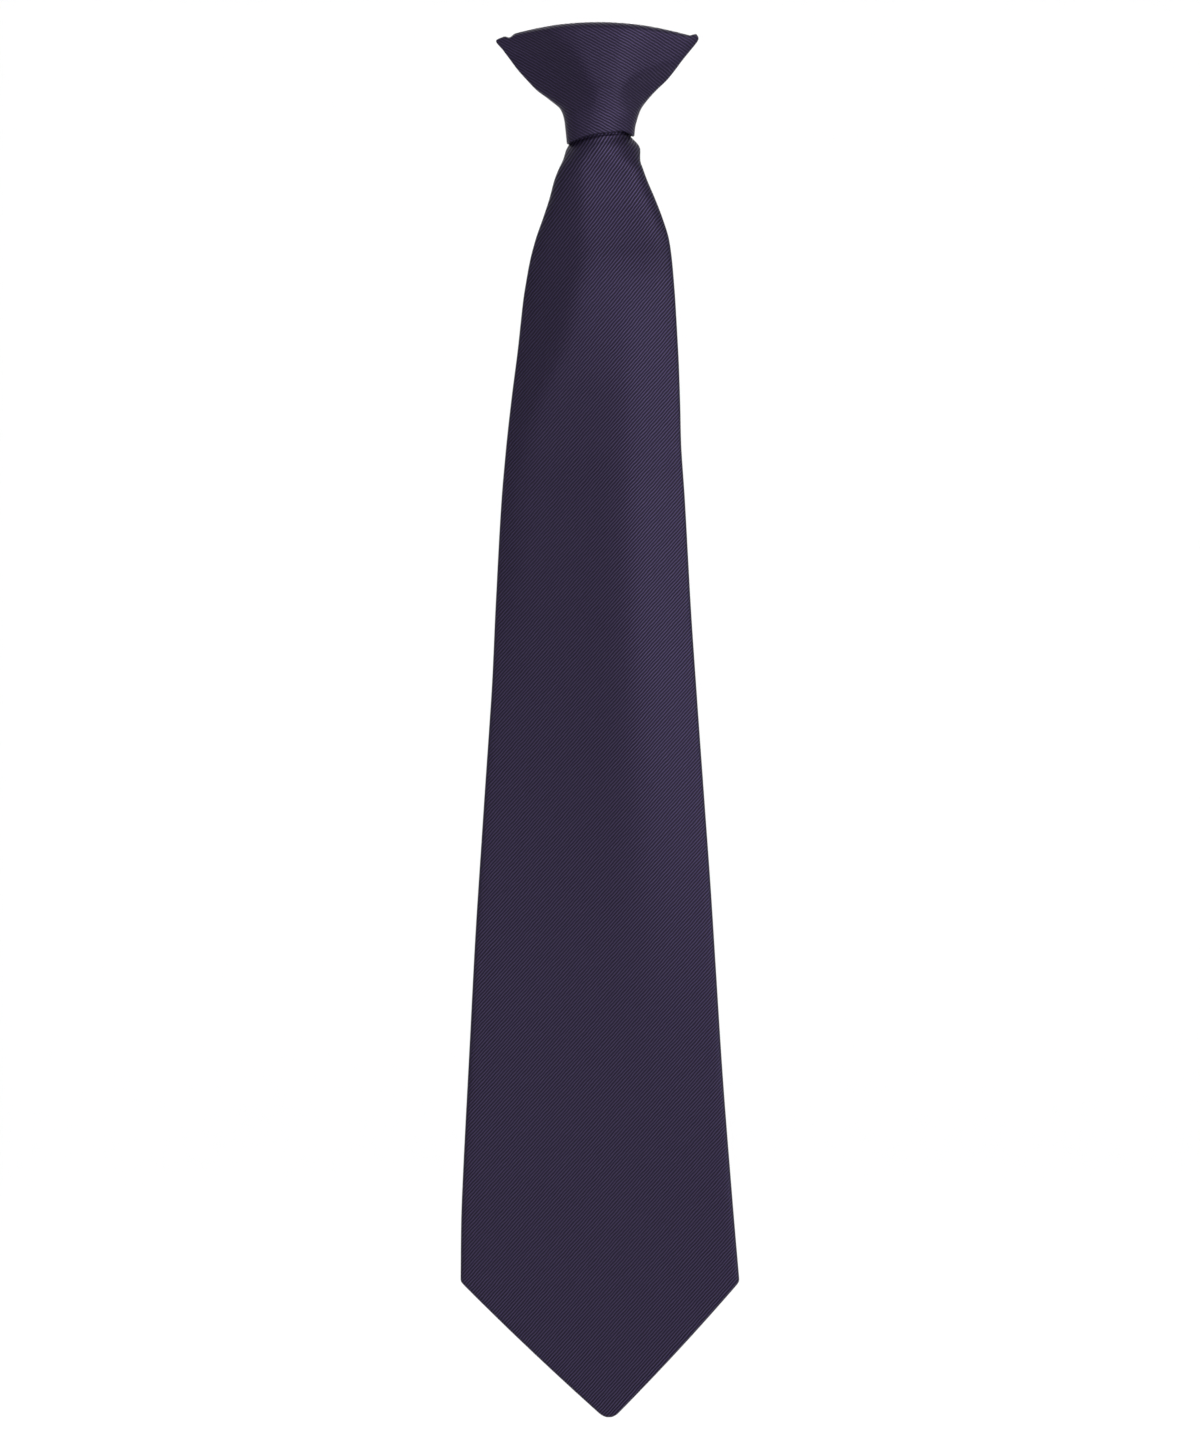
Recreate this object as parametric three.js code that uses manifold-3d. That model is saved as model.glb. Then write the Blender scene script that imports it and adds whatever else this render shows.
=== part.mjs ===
// A clip-on necktie of folded twill, in the form that it has when it hangs on a shirt collar.
// Millimetres, +Z up, and the front faces -Y. The origin is the underside of the clip's bight,
// which sits on the top edge of the collar band, in the middle of the gap that takes the band.
import * as THREE from 'three';
import { mergeVertices } from 'three/addons/utils/BufferGeometryUtils.js';
import Module from 'manifold-3d';

const wasm = await Module();
wasm.setup();

// Cloth
const CLOTH = 1.0; // one folded layer of twill with the interlining on it
const LAYER_GAP = 0.6; // hollow between the blade's front layer and its back flaps
const FIT = 0.3; // clearance between pieces that touch

// Knot
const WING_SPAN = 65.5; // from wing tip to wing tip
const BAND_WIDTH = 20.9; // the narrow band at the knot's mouth
const KNOT_HEIGHT = 36.5; // from the middle of the top edge to the middle of the mouth
const KNOT_RISE = 9.2; // how far the top edge stands above the collar band's top edge
const KNOT_DEPTH = 15.5; // from front to back at the band
const WING_THICKNESS = 4.2; // at the wing tips
const WING_SWEEP = 3.4; // how far the wing tips are swept back
const TOP_ROUND = 2.2; // height over which the top edge is rounded
const TOP_FULLNESS = 0.3; // the top lid's depth, as a share of the knot's depth below the rounding
const SWEEP_START = 0.2; // where the wings start to sweep back, as a share of the knot's half width
const BACK_ROUND = 0.36; // how round the section's back corners are: 1 is an ellipse and 0 a box
const FRONT_ROUND = 0.72; // and its front corners
const RIDGE_SPREAD = 0.28; // half the breadth of a column's flank, as a share of the knot's half width
const WING_INSET = 1.6; // the hollow's distance from a wing's slanting edge, in cloths
const CREST_SOFTNESS = 0.1; // how broadly the column's crest is rounded, as a share of the half width
const COLUMN_FALL = 0.5; // the share of the column's height that falls away evenly, the rest at its flank
const MOUTH_LIFT = 0.9; // how far the mouth's edge is lifted on its right half
const LIFT_PLACE = 0.7; // where the lift is highest, as a share of the half width
const LIFT_SPREAD = 0.27; // and how broad it is
const LIFT_START = 0.7; // how far down the knot the lift starts, as a share of KNOT_HEIGHT

// Blade
const BLADE_WIDTH = 90; // across the shoulders
const NECK_WIDTH = 43.8; // across the folded blade at the knot's mouth, laid flat
const BODY_LENGTH = 370; // from the mouth to the shoulders
const POINT_LENGTH = 43.7; // from the shoulders to the tip
const POINT_BOW = 0.7; // how far each edge of the point bulges out of a straight line
const TIP_WIDTH = 3.5; // the blunt end of the point
const HEM = 12; // the turned edge along the point, measured straight across the blade
const SEAM_GAP = 0.5; // between the back flaps along the centre seam
const NECK_LENGTH = 12; // the stretch of the blade that is hidden in the knot

// Clip
const CLIP_WIDTH = 14;
const CLIP_THICKNESS = 1;
const CLIP_BEND = 1; // inner radius of the two bends at the bight
const COLLAR_GAP = 5.4; // between the knot's back and the tongue
const LEG_LENGTH = 8; // front leg, inside the knot
const TONGUE_LENGTH = 20; // straight stretch behind the collar band
const LIP_RADIUS = 8; // the tongue's end curves away from the knot
const LIP_ANGLE = THREE.MathUtils.degToRad(40);
const CORNER_RADIUS = 3.5; // the tongue's rounded corners

// How finely the surfaces are divided
const KNOT_STEPS = 56; // round the knot
const TOP_ROWS = [0, 0.25, 0.6, 1]; // down the rounded top edge, as shares of TOP_ROUND
const FRONT_STEPS = 18; // along the blade's front layer
const FLAP_STEPS = 6; // along each back flap
const FOLD_STEPS = 3; // round each side fold
const WALK_STEPS = 120; // along the middle line that the blade's layers follow
const OPENING_ROWS = [0, 0.3, 0.65]; // from the top of the inverted V to the shoulders, as shares
const POINT_ROWS = [0.04, 0.14, 0.28, 0.42, 0.56, 0.68, 0.76, 0.84, 0.92, 0.97, 1]; // and of POINT_LENGTH
const ARC_STEPS = 6; // round each bend of the clip

// The knot from its top to its mouth. mid, left and right: how far the row lies below the top edge in
// the middle and at its two ends, as shares of KNOT_HEIGHT. leftFlare and rightFlare: the row's two
// half widths, 0 at the band and 1 at the wing tips. depth: a share of KNOT_DEPTH, at the crest.
// wing: 1 where the row is a pair of swept wings with a column between them, 0 where it is a round band.
// crest, leftRidge and rightRidge: where the column is deepest and where it falls away to each wing, as
// shares of the half widths.
const KNOT_ROWS = table(
  ['mid', 'left', 'right', 'leftFlare', 'rightFlare', 'depth', 'wing', 'crest', 'leftRidge', 'rightRidge'],
  [0.00, 0.12, 0.13, 0.93, 0.93, 0.66, 1.00, -0.52, 0.67, 1.30],
  [0.06, 0.16, 0.16, 1.04, 0.96, 0.69, 1.00, -0.50, 0.66, 1.30],
  [0.13, 0.24, 0.24, 0.94, 0.85, 0.72, 0.98, -0.46, 0.62, 1.25],
  [0.22, 0.33, 0.33, 0.83, 0.73, 0.76, 0.94, -0.38, 0.54, 1.20],
  [0.33, 0.42, 0.42, 0.72, 0.62, 0.81, 0.86, -0.30, 0.46, 0.98],
  [0.43, 0.51, 0.51, 0.59, 0.50, 0.86, 0.74, -0.24, 0.40, 0.80],
  [0.53, 0.60, 0.60, 0.45, 0.35, 0.91, 0.56, -0.20, 0.34, 0.68],
  [0.62, 0.69, 0.69, 0.26, 0.22, 0.96, 0.32, -0.17, 0.30, 0.64],
  [0.72, 0.78, 0.78, 0.10, 0.12, 0.99, 0.10, -0.15, 0.35, 0.60],
  [0.81, 0.87, 0.87, 0.05, 0.07, 1.00, 0.00, -0.15, 0.40, 0.60],
  [0.91, 0.97, 0.95, 0.03, 0.04, 0.98, 0.00, -0.15, 0.40, 0.60],
  [1.00, 1.09, 1.02, 0.01, 0.03, 0.95, 0.00, -0.15, 0.40, 0.60],
);

// The blade from the knot down to its shoulders. at: below the mouth, as a share of BODY_LENGTH.
// left and right: how far its two sides reach from the middle, as shares of half the flat width there.
// curl: how far each side fold is turned back, in degrees. place: where the crease runs, as a share of
// the half width. crease and ridge: the turn across the two long soft folds, in degrees. stand: how far
// the front stands off the knot's back, as a share of KNOT_DEPTH. The rows above these are the held ones.
const BLADE_ROWS = table(
  ['at', 'left', 'right', 'curl', 'place', 'crease', 'ridge', 'stand'],
  [0.0028, 0.455, 0.470, 74, -0.50, 6, 0, 0.90],
  [0.0068, 0.457, 0.535, 72, -0.50, 10, 0, 0.91],
  [0.0092, 0.462, 0.566, 73, -0.50, 14, 0, 0.93],
  [0.013, 0.491, 0.586, 75, -0.49, 16, 0, 0.95],
  [0.022, 0.531, 0.580, 78, -0.48, 18, 0, 0.97],
  [0.031, 0.593, 0.619, 76, -0.44, 20, 0, 0.98],
  [0.040, 0.645, 0.667, 72, -0.40, 20, 0, 0.98],
  [0.057, 0.707, 0.771, 62, -0.36, 20, 0, 0.98],
  [0.074, 0.784, 0.860, 49, -0.33, 20, 0, 0.96],
  [0.092, 0.867, 0.929, 34, -0.28, 22, 0, 0.93],
  [0.109, 0.922, 0.951, 25, -0.23, 24, 0, 0.88],
  [0.127, 0.957, 0.960, 16, -0.27, 26, 4, 0.85],
  [0.144, 0.982, 0.964, 12, -0.32, 26, 8, 0.83],
  [0.188, 1.013, 0.962, 6, -0.44, 22, 15, 0.77],
  [0.232, 1.051, 0.949, 0, -0.68, 22, 17, 0.72],
  [0.275, 1.076, 0.931, 0, -0.80, 20, 18, 0.68],
  [0.319, 1.087, 0.937, 0, -0.86, 16, 22, 0.64],
  [0.405, 1.075, 0.934, 0, -0.80, 6, 22, 0.60],
  [0.493, 1.057, 0.943, 0, -0.80, 2, 18, 0.57],
  [0.580, 1.059, 0.955, 0, -0.80, 0, 14, 0.55],
  [0.667, 1.059, 0.965, 0, -0.80, 0, 8, 0.53],
  [0.797, 1.045, 0.968, 0, -0.80, 0, 2, 0.52],
  [0.929, 1.028, 0.986, 0, -0.80, 0, 0, 0.52],
  [1.000, 1.000, 1.000, 0, -0.80, 0, 0, 0.52],
);
const CREASE_SOFTNESS = 0.10; // in shares of the blade's half width
const RIDGE_PLACE = 0.40;
const RIDGE_SOFTNESS = 0.15;
const HELD_CURL = 90; // the most that the band bends the blade's side folds back, in degrees
const NECK_TAPER = 0.75; // the neck's end inside the knot, as a share of its width at the mouth
const FLAT_DROP = 12; // the drop at which the front is flat and its bends lie close to the side folds
const FLATNESS = 7; // how close they lie, where 1 is evenly over the whole front
const TIP_SWAY = 0.066; // how far the point leans to the right, as a share of its length

const LAYERS = LAYER_GAP / 2 + CLOTH; // from the blade's middle line to either outer face
const MOUTH_CUT = 3 * CLOTH; // how far the hollow's cutter runs on below the mouth
const SLOT_REACH = 4 * CLOTH; // how deep the slot's cutter is, with the knot's back in its middle
// The drops at which the band's right side ends and, further down, its left one
const RIGHT_FREE = (KNOT_ROWS.at(-1).right - 1) * KNOT_HEIGHT + FIT;
const LEFT_FREE = (KNOT_ROWS.at(-1).left - 1) * KNOT_HEIGHT + FIT;

const { lerp, smoothstep, degToRad, radToDeg } = THREE.MathUtils;

// Rows with named columns.
function table(names, ...rows) {
  return rows.map((row) => Object.fromEntries(names.map((name, i) => [name, row[i]])));
}

// All columns of a table's row at a share between two rows, in proportion.
function rowAt(rows, key, share) {
  const next = Math.max(1, rows.findIndex((row, i) => row[key] >= share || i === rows.length - 1));
  const [low, high] = [rows[next - 1], rows[next]];
  const part = (share - low[key]) / (high[key] - low[key]);
  return Object.fromEntries(Object.keys(low).map((name) => [name, lerp(low[name], high[name], part)]));
}

// A closed skin over rings of equally many points, from the top ring down. Each ring runs
// anticlockwise seen from above, and the first and the last are closed by a flat lid.
function loft(rings) {
  const count = rings[0].length;
  const index = [];
  for (let i = 0; i < rings.length - 1; i += 1) {
    for (let j = 0; j < count; j += 1) {
      const [a, b] = [i * count + j, i * count + ((j + 1) % count)];
      const [c, d] = [b + count, a + count];
      index.push(a, d, b, b, d, c);
    }
  }
  const lids = [[0, rings[0], true], [(rings.length - 1) * count, rings.at(-1), false]];
  for (const [start, ring, up] of lids) {
    const outline = ring.map((p) => new THREE.Vector2(p.x, p.y));
    for (const face of THREE.ShapeUtils.triangulateShape(outline, [])) {
      const anticlockwise = THREE.ShapeUtils.area(face.map((k) => outline[k])) > 0;
      const [a, b, c] = anticlockwise === up ? face : [face[0], face[2], face[1]];
      index.push(start + a, start + b, start + c);
    }
  }
  const geometry = new THREE.BufferGeometry().setFromPoints(rings.flat());
  geometry.setIndex(index);
  return geometry;
}

function toSolid(geometry) {
  geometry.deleteAttribute('normal');
  geometry.deleteAttribute('uv');
  const merged = mergeVertices(geometry);
  return new wasm.Manifold(new wasm.Mesh({
    numProp: 3,
    vertProperties: Float32Array.from(merged.attributes.position.array),
    triVerts: Uint32Array.from(merged.index.array),
  }));
}

function toGeometry(solid) {
  const mesh = solid.getMesh();
  const geometry = new THREE.BufferGeometry();
  geometry.setAttribute('position', new THREE.BufferAttribute(mesh.vertProperties, 3));
  geometry.setIndex(new THREE.BufferAttribute(mesh.triVerts, 1));
  return geometry;
}

// Half the knot's width on one side.
const halfKnot = (flare) => lerp(BAND_WIDTH, WING_SPAN, flare) / 2;

// The knot from front to back, at a place across it that runs from -1 at the left end to 1.
function knotThickness(row, across) {
  const out = Math.abs(across);
  const ridge = across < 0 ? row.leftRidge : row.rightRidge;
  const flank = 1 - smoothstep(out, ridge - RIDGE_SPREAD, ridge + RIDGE_SPREAD);
  const away = Math.hypot(across - row.crest, CREST_SOFTNESS);
  const fall = 1 - away / (1 + (across < row.crest ? row.crest : -row.crest));
  const column = lerp(flank, fall, COLUMN_FALL);
  return lerp(WING_THICKNESS, row.depth * KNOT_DEPTH, lerp(1, column, row.wing));
}

// One ring of the knot: a D-shaped tube at the band, and above it a column between two swept wings.
// skin is how far the ring lies inside the knot's outer face, and lower moves the ring down.
function knotRing(row, skin, fullness, lower) {
  const inset = lerp(1, WING_INSET, row.wing) * skin;
  const [left, right] = [halfKnot(row.leftFlare) - inset, halfKnot(row.rightFlare) - inset];
  const [slope, sag] = [(row.right - row.left) / 2, (row.left + row.right) / 2 - row.mid];
  const lift = MOUTH_LIFT * smoothstep(row.mid, LIFT_START, 1);
  const ring = [];
  for (let k = 0; k < KNOT_STEPS; k += 1) {
    const angle = (2 * Math.PI * k) / KNOT_STEPS;
    const across = Math.cos(angle);
    const out = Math.abs(across);
    const back = -COLLAR_GAP / 2 + WING_SWEEP * smoothstep(out, SWEEP_START, 1) * row.wing - skin;
    const front = back - knotThickness(row, across) + 2 * skin;
    const side = Math.sin(angle);
    const bulge = Math.sign(side) * Math.abs(side) ** (side > 0 ? BACK_ROUND : FRONT_ROUND) * fullness;
    const down = row.mid + slope * across + sag * out ** 2;
    const lifted = lift * Math.exp(-(((across - LIFT_PLACE) / LIFT_SPREAD) ** 2));
    ring.push(new THREE.Vector3(
      across * (across > 0 ? right : left),
      (front + back) / 2 + (bulge * (back - front)) / 2,
      KNOT_RISE - down * KNOT_HEIGHT + lifted - lower,
    ));
  }
  return ring;
}

// The knot: a hollow wrapped cloth, closed at the top and open at the mouth, with a slot in its back
// that the clip comes out of.
function knotWrap() {
  const topShares = TOP_ROWS.map((share) => (share * TOP_ROUND) / KNOT_HEIGHT);
  const below = KNOT_ROWS.map((row) => row.mid).filter((share) => share > topShares.at(-1));
  const shares = [...topShares, ...below];
  const rings = shares.map((share) => {
    const height = Math.min(1, (share * KNOT_HEIGHT) / TOP_ROUND);
    const fullness = lerp(TOP_FULLNESS, 1, Math.sqrt(1 - (1 - height) ** 2));
    return knotRing(rowAt(KNOT_ROWS, 'mid', share), 0, fullness, 0);
  });
  const inside = shares.slice(topShares.length - 1);
  const hollow = inside.map((share) => knotRing(rowAt(KNOT_ROWS, 'mid', share), CLOTH, 1, 0));
  hollow.push(knotRing(KNOT_ROWS.at(-1), CLOTH, 1, MOUTH_CUT));
  const slot = new THREE.BoxGeometry(CLIP_WIDTH + 2 * FIT, SLOT_REACH, CLIP_THICKNESS + 2 * FIT);
  slot.translate(0, -COLLAR_GAP / 2 - CLOTH / 2, CLIP_THICKNESS / 2);
  return toGeometry(toSolid(loft(rings)).subtract(toSolid(loft(hollow))).subtract(toSolid(slot)));
}

// The blade's flat width at a drop below the knot's mouth: a straight taper down to the shoulders,
// then the point, whose edges bulge a little.
function flatWidth(drop) {
  const past = drop - BODY_LENGTH;
  if (past <= 0) return lerp(NECK_WIDTH, BLADE_WIDTH, Math.max(0, drop) / BODY_LENGTH);
  const share = past / POINT_LENGTH;
  const bow = 4 * POINT_BOW * share * (1 - share);
  return lerp(BLADE_WIDTH, TIP_WIDTH, share) + 2 * bow;
}

// How far each back flap reaches in from its side fold: up to the centre seam, and below the
// inverted V only as far as the hem.
function flapReach(drop, halfWidth) {
  const full = halfWidth - SEAM_GAP / 2;
  return Math.min(full, HEM + Math.max(0, BODY_LENGTH - drop));
}

// The middle line between the blade's two layers, seen from above. Its direction turns by the curl from
// one side fold to the other, evenly where the band holds it and mostly close to the folds below that.
// It turns steeply across the crease and the ridge too, whose mean turn is taken off so that both side
// folds hang equally far back. The line has the size that reaches
// from the row's left side to its right one.
function middleLine(row) {
  const spots = Array.from({ length: WALK_STEPS }, (_, i) => ((i + 0.5) / WALK_STEPS) * 2 - 1);
  const turns = spots.map((spot) => row.curl * lerp(spot, spot ** FLATNESS, row.flat));
  const folds = [[row.crease, row.place, CREASE_SOFTNESS], [row.ridge, RIDGE_PLACE, RIDGE_SOFTNESS]];
  for (const [turn, place, softness] of folds) {
    const bends = spots.map((spot) => 0.5 + 0.5 * Math.tanh((spot - place) / softness));
    const mean = bends.reduce((sum, bend) => sum + bend, 0) / WALK_STEPS;
    bends.forEach((bend, i) => { turns[i] += turn * (bend - mean); });
  }
  const points = [new THREE.Vector2(0, 0)];
  for (const turn of turns.map(degToRad)) {
    points.push(points.at(-1).clone().add(new THREE.Vector2(Math.cos(turn), Math.sin(turn))));
  }
  const box = new THREE.Box2().setFromPoints(points);
  const scale = (row.left + row.right - 2 * LAYERS) / (box.max.x - box.min.x);
  const corner = new THREE.Vector2(LAYERS - row.left, LAYERS - COLLAR_GAP / 2 - row.stand * KNOT_DEPTH);
  return points.map((point) => point.sub(box.min).multiplyScalar(scale).add(corner));
}

// A point beside the middle line: share runs from -1 at the left fold to 1 at the right one, and
// offset is to the back, or to the front where it is negative.
function beside(line, share, offset) {
  const place = ((share + 1) / 2) * (line.length - 1);
  const k = Math.min(line.length - 2, Math.max(0, Math.floor(place)));
  const along = line[k + 1].clone().sub(line[k]);
  const point = line[k].clone().addScaledVector(along, place - k);
  along.normalize();
  return point.add(new THREE.Vector2(-along.y, along.x).multiplyScalar(offset));
}

// One face of the C-shaped cloth at a given distance from the middle line: the left back flap from
// its edge, round the left fold, along the front, round the right fold and back to the right flap's edge.
function clothFace(line, flapShare, distance) {
  const points = [];
  for (let i = 0; i <= FLAP_STEPS; i += 1) {
    points.push(beside(line, -1 + flapShare * (1 - i / FLAP_STEPS), distance));
  }
  const fold = (side, centre, back) => {
    const arm = back.clone().sub(centre);
    for (let i = 1; i < FOLD_STEPS; i += 1) {
      const angle = (Math.PI * i) / FOLD_STEPS;
      points.push(arm.clone().rotateAround(new THREE.Vector2(), -side * angle).add(centre));
    }
  };
  fold(-1, line[0], points.at(-1));
  for (let i = 0; i <= FRONT_STEPS; i += 1) {
    points.push(beside(line, -1 + (2 * i) / FRONT_STEPS, -distance));
  }
  fold(-1, line.at(-1), points.at(-1));
  for (let i = 0; i <= FLAP_STEPS; i += 1) {
    points.push(beside(line, 1 - flapShare * (i / FLAP_STEPS), distance));
  }
  return points;
}

// How far the blade's middle line may lie from the knot's middle inside the band.
const heldRadius = () => BAND_WIDTH / 2 - CLOTH - FIT - LAYERS;

// The blade where the knot holds it, bent to the room that the band's hollow leaves.
function heldRow(drop) {
  const radius = heldRadius() * lerp(1, NECK_TAPER, Math.max(0, -drop) / NECK_LENGTH);
  const room = KNOT_ROWS.at(-1).depth * KNOT_DEPTH - 2 * (CLOTH + FIT + LAYERS);
  const bend = Math.min(degToRad(HELD_CURL), Math.acos(Math.max(-1, 1 - room / radius)));
  const level = rowAt(KNOT_ROWS, 'mid', Math.min(1, 1 + drop / KNOT_HEIGHT));
  const reach = (radius * Math.sin(bend) + LAYERS) / (flatWidth(drop) / 2);
  return {
    at: drop / BODY_LENGTH,
    left: reach,
    right: reach,
    curl: radToDeg(bend),
    place: BLADE_ROWS[0].place,
    crease: 0,
    ridge: 0,
    stand: (knotThickness(level, radius / (2 * halfKnot(level.rightFlare))) - CLOTH - FIT) / KNOT_DEPTH,
  };
}

// The blade's row at a drop, with its two sides in millimetres. Between the ends of the band's two
// sides only the right one of the blade is free.
function bladeRow(drop) {
  const held = heldRow(Math.min(drop, RIGHT_FREE));
  const share = Math.min(1, drop / BODY_LENGTH);
  const row = drop <= RIGHT_FREE ? held : rowAt([held, ...BLADE_ROWS], 'at', share);
  if (drop <= LEFT_FREE) row.left = held.left;
  row.flat = smoothstep(drop, RIGHT_FREE, FLAT_DROP);
  const half = flatWidth(drop) / 2;
  const sway = TIP_SWAY * Math.max(0, drop - BODY_LENGTH);
  row.left = row.left * half - sway;
  row.right = row.right * half + sway;
  return row;
}

function bladeRing(drop) {
  const line = middleLine(bladeRow(drop));
  const half = (line[0].distanceTo(line[1]) * WALK_STEPS) / 2;
  const flapShare = flapReach(drop, half) / half;
  const outer = clothFace(line, flapShare, LAYERS);
  const inner = clothFace(line, flapShare, LAYER_GAP / 2);
  const z = KNOT_RISE - KNOT_HEIGHT - drop;
  return [...outer, ...inner.reverse()].map((point) => new THREE.Vector3(point.x, point.y, z));
}

function blade() {
  const openingTop = BODY_LENGTH + HEM - BLADE_WIDTH / 2;
  const drops = [
    -NECK_LENGTH,
    -NECK_LENGTH / 2,
    RIGHT_FREE,
    LEFT_FREE,
    ...BLADE_ROWS.map((row) => row.at * BODY_LENGTH),
    ...OPENING_ROWS.map((share) => lerp(openingTop, BODY_LENGTH, share)),
    ...POINT_ROWS.map((share) => BODY_LENGTH + share * POINT_LENGTH),
  ];
  drops.sort((a, b) => a - b);
  return loft(drops.map(bladeRing));
}

// The clip: a flat strip bent like a J, with the leg in the knot and the tongue behind the collar band.
function clip() {
  const legBack = -COLLAR_GAP / 2 - CLOTH - 2 * FIT;
  const tongueFace = COLLAR_GAP / 2;
  const outerBend = CLIP_BEND + CLIP_THICKNESS;
  const lipCentre = tongueFace + CLIP_THICKNESS + LIP_RADIUS;
  const strip = new THREE.Shape();
  strip.moveTo(legBack, -LEG_LENGTH);
  strip.lineTo(legBack, -CLIP_BEND);
  strip.absarc(legBack + CLIP_BEND, -CLIP_BEND, CLIP_BEND, Math.PI, Math.PI / 2, true);
  strip.absarc(tongueFace - CLIP_BEND, -CLIP_BEND, CLIP_BEND, Math.PI / 2, 0, true);
  strip.absarc(lipCentre, -TONGUE_LENGTH, LIP_RADIUS + CLIP_THICKNESS, Math.PI, Math.PI + LIP_ANGLE, false);
  strip.absarc(lipCentre, -TONGUE_LENGTH, LIP_RADIUS, Math.PI + LIP_ANGLE, Math.PI, true);
  strip.absarc(tongueFace - CLIP_BEND, -CLIP_BEND, outerBend, 0, Math.PI / 2, false);
  strip.absarc(legBack + CLIP_BEND, -CLIP_BEND, outerBend, Math.PI / 2, Math.PI, false);
  strip.lineTo(legBack - CLIP_THICKNESS, -LEG_LENGTH);
  strip.closePath();
  const swept = { depth: CLIP_WIDTH, bevelEnabled: false, curveSegments: ARC_STEPS };
  const sweep = new THREE.ExtrudeGeometry(strip, swept);
  sweep.translate(0, 0, -CLIP_WIDTH / 2);
  sweep.applyMatrix4(new THREE.Matrix4().makeBasis(
    new THREE.Vector3(0, 1, 0), new THREE.Vector3(0, 0, 1), new THREE.Vector3(1, 0, 0),
  ));

  const half = CLIP_WIDTH / 2;
  const end = -TONGUE_LENGTH - (LIP_RADIUS + CLIP_THICKNESS) * Math.sin(LIP_ANGLE);
  const face = new THREE.Shape();
  face.moveTo(half, 2 * CLIP_THICKNESS);
  face.lineTo(-half, 2 * CLIP_THICKNESS);
  face.absarc(-half + CORNER_RADIUS, end + CORNER_RADIUS, CORNER_RADIUS, Math.PI, 1.5 * Math.PI, false);
  face.absarc(half - CORNER_RADIUS, end + CORNER_RADIUS, CORNER_RADIUS, 1.5 * Math.PI, 2 * Math.PI, false);
  face.closePath();
  const reach = 2 * (lipCentre - legBack);
  const cut = { depth: reach, bevelEnabled: false, curveSegments: ARC_STEPS };
  const blank = new THREE.ExtrudeGeometry(face, cut);
  blank.translate(0, 0, -reach / 2);
  blank.rotateX(Math.PI / 2);
  return toGeometry(toSolid(sweep).intersect(toSolid(blank)));
}

function piece(name, geometry, color, roughness, metalness) {
  geometry.computeVertexNormals();
  const material = new THREE.MeshStandardMaterial({ color, roughness, metalness });
  const mesh = new THREE.Mesh(geometry, material);
  mesh.name = name;
  return mesh;
}

const tie = new THREE.Group();
tie.add(piece('blade', blade(), 0x342d44, 0.8, 0));
tie.add(piece('knot_wrap', knotWrap(), 0x362f48, 0.8, 0));
tie.add(piece('clip', clip(), 0xb4b6ba, 0.35, 1));

export default tie;
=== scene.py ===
import math

import bpy
import numpy as np
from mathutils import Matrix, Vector


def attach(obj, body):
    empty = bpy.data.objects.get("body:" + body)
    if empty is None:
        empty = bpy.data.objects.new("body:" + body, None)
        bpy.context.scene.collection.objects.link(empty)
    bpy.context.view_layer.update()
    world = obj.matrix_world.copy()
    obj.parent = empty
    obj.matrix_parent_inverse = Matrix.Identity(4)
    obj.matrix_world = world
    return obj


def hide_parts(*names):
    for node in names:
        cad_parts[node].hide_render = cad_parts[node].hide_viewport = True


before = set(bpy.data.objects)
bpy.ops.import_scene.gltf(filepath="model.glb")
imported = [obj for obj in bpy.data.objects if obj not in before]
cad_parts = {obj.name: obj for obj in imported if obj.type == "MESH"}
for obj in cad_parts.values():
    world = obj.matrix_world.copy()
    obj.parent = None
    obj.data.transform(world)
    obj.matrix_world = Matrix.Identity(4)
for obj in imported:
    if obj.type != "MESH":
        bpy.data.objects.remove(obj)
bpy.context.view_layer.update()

# Shapes are worked out in millimetres, and a mesh is put into the scene in metres.
MM = 0.001

# Cloth
CLOTH = 1.0  # one folded layer of twill with the interlining on it
LAYER_GAP = 0.6  # hollow between the blade's front layer and its back flaps
LAYERS = LAYER_GAP / 2 + CLOTH  # from the blade's middle line to either outer face
NESTLE = 0.45  # how deep the blade's face lies below the knot's face where the knot holds it
SNUG = 0.05  # how far below the end of the mouth's edge the blade is still held

# Knot
WING_SPAN = 65.5  # from wing tip to wing tip
BAND_WIDTH = 20.9  # the narrow band at the knot's mouth
KNOT_HEIGHT = 36.5  # from the middle of the top edge to the middle of the mouth
KNOT_RISE = 9.2  # how far the top edge stands above the collar band's top edge
KNOT_DEPTH = 15.5  # from front to back at the band
WING_THICKNESS = 4.2  # at the wing tips
WING_SWEEP = 3.4  # how far the wing tips are swept back
TOP_ROUND = 2.2  # height over which the top edge is rounded
SWEEP_START = 0.2  # where the wings start to sweep back, as a share of the knot's half width
BACK_ROUND = 0.36  # how round the section's back corners are: 1 is an ellipse and 0 a box
FRONT_ROUND = 0.72  # and its front corners
RIDGE_SPREAD = 0.28  # half the breadth of a column's flank, as a share of the knot's half width
WING_INSET = 1.6  # the hollow's distance from a wing's slanting edge, in cloths
CREST_SOFTNESS = 0.1  # how broadly the column's crest is rounded, as a share of the half width
COLUMN_FALL = 0.5  # the share of the column's height that falls away evenly, the rest at its flank
MOUTH = KNOT_RISE - KNOT_HEIGHT  # the height of the mouth's middle
MOUTH_LIFT = 0.9  # how far the mouth's edge is lifted on its right half
LIFT_PLACE = 0.7  # where the lift is highest, as a share of the half width
LIFT_SPREAD = 0.27  # and how broad it is
LIFT_START = 0.7  # how far down the knot the lift starts, as a share of KNOT_HEIGHT
NOTCH_DEPTH = 0.8  # the notch in the top edge beside the left ear
NOTCH_PLACE = -29.2  # where it is across the knot
NOTCH_SPREAD = 1.1  # and how broad it is
EAR_RISE = 1.0  # how far the right ear stands up
EAR_START = 28.6  # where it starts to rise across the knot
EAR_PEAK = 31.2  # and where it reaches its full height
EAR_DEPTH = 5.5  # how far down the knot the notch and the ear fade out
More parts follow.
